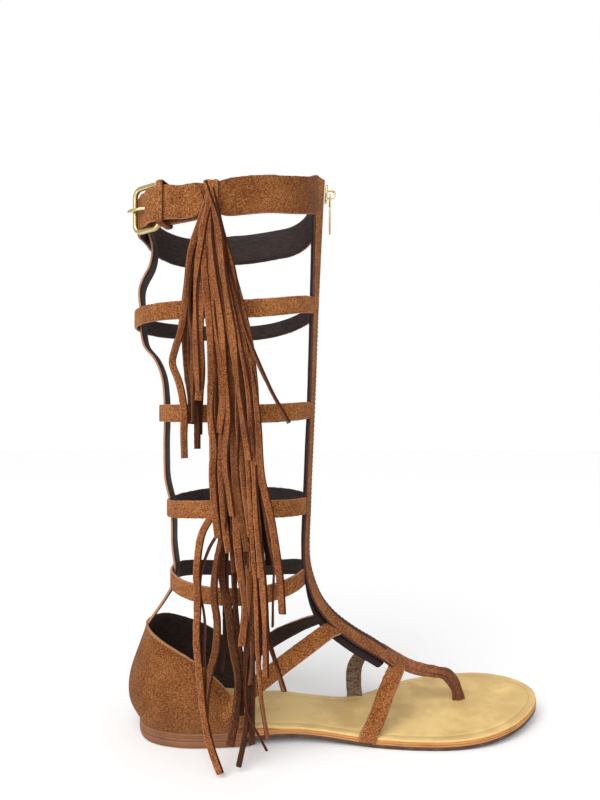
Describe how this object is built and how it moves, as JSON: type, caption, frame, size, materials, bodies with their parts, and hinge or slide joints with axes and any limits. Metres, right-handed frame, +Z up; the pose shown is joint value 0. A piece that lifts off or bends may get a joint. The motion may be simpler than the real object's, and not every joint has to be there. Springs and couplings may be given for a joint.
{
  "type": "gladiator sandal",
  "caption": "Right flat knee-high open strap sandal in tan suede with a thong, a shin zip, a buckled collar and a long fringe tassel.",
  "frame": {"origin": "on the floor at the middle of the heel lift's tread", "axes": "+X from the heel to the toe, +Y to the inner (big toe) side, +Z up the leg"},
  "size_m": [0.2718, 0.1174, 0.3584],
  "materials": {
    "heel_leather": "smooth burnished",
    "outsole_rubber": "matte",
    "sole_leather": "burnished edge",
    "insole_leather": "smooth",
    "suede": "napped suede",
    "zip": "woven tape with a nylon coil",
    "fringe_suede": "napped suede, cut edges",
    "hardware": "pale gold plate"
  },
  "bodies": {
    "sandal": {"heel_lift": "heel_leather", "outsole": "outsole_rubber", "midsole": "sole_leather", "insole": "insole_leather", "upper": "suede", "collar_strap_end": "suede", "keeper_loop": "suede", "tassel_loop": "suede", "tassel": "fringe_suede", "zip_tape": "zip", "zip_slider": "hardware", "buckle_frame": "hardware", "buckle_prong": "hardware"},
    "pull_tab": {"zip_pull_tab": "hardware"}
  },
  "joints": [
    {"name": "pull_tab_swing", "type": "hinge", "parent": "sandal", "child": "pull_tab", "pos_m": [0.0942, 0, 0.3461], "axis": [0, -1, 0], "range_deg": [0, 150]}
  ]
}
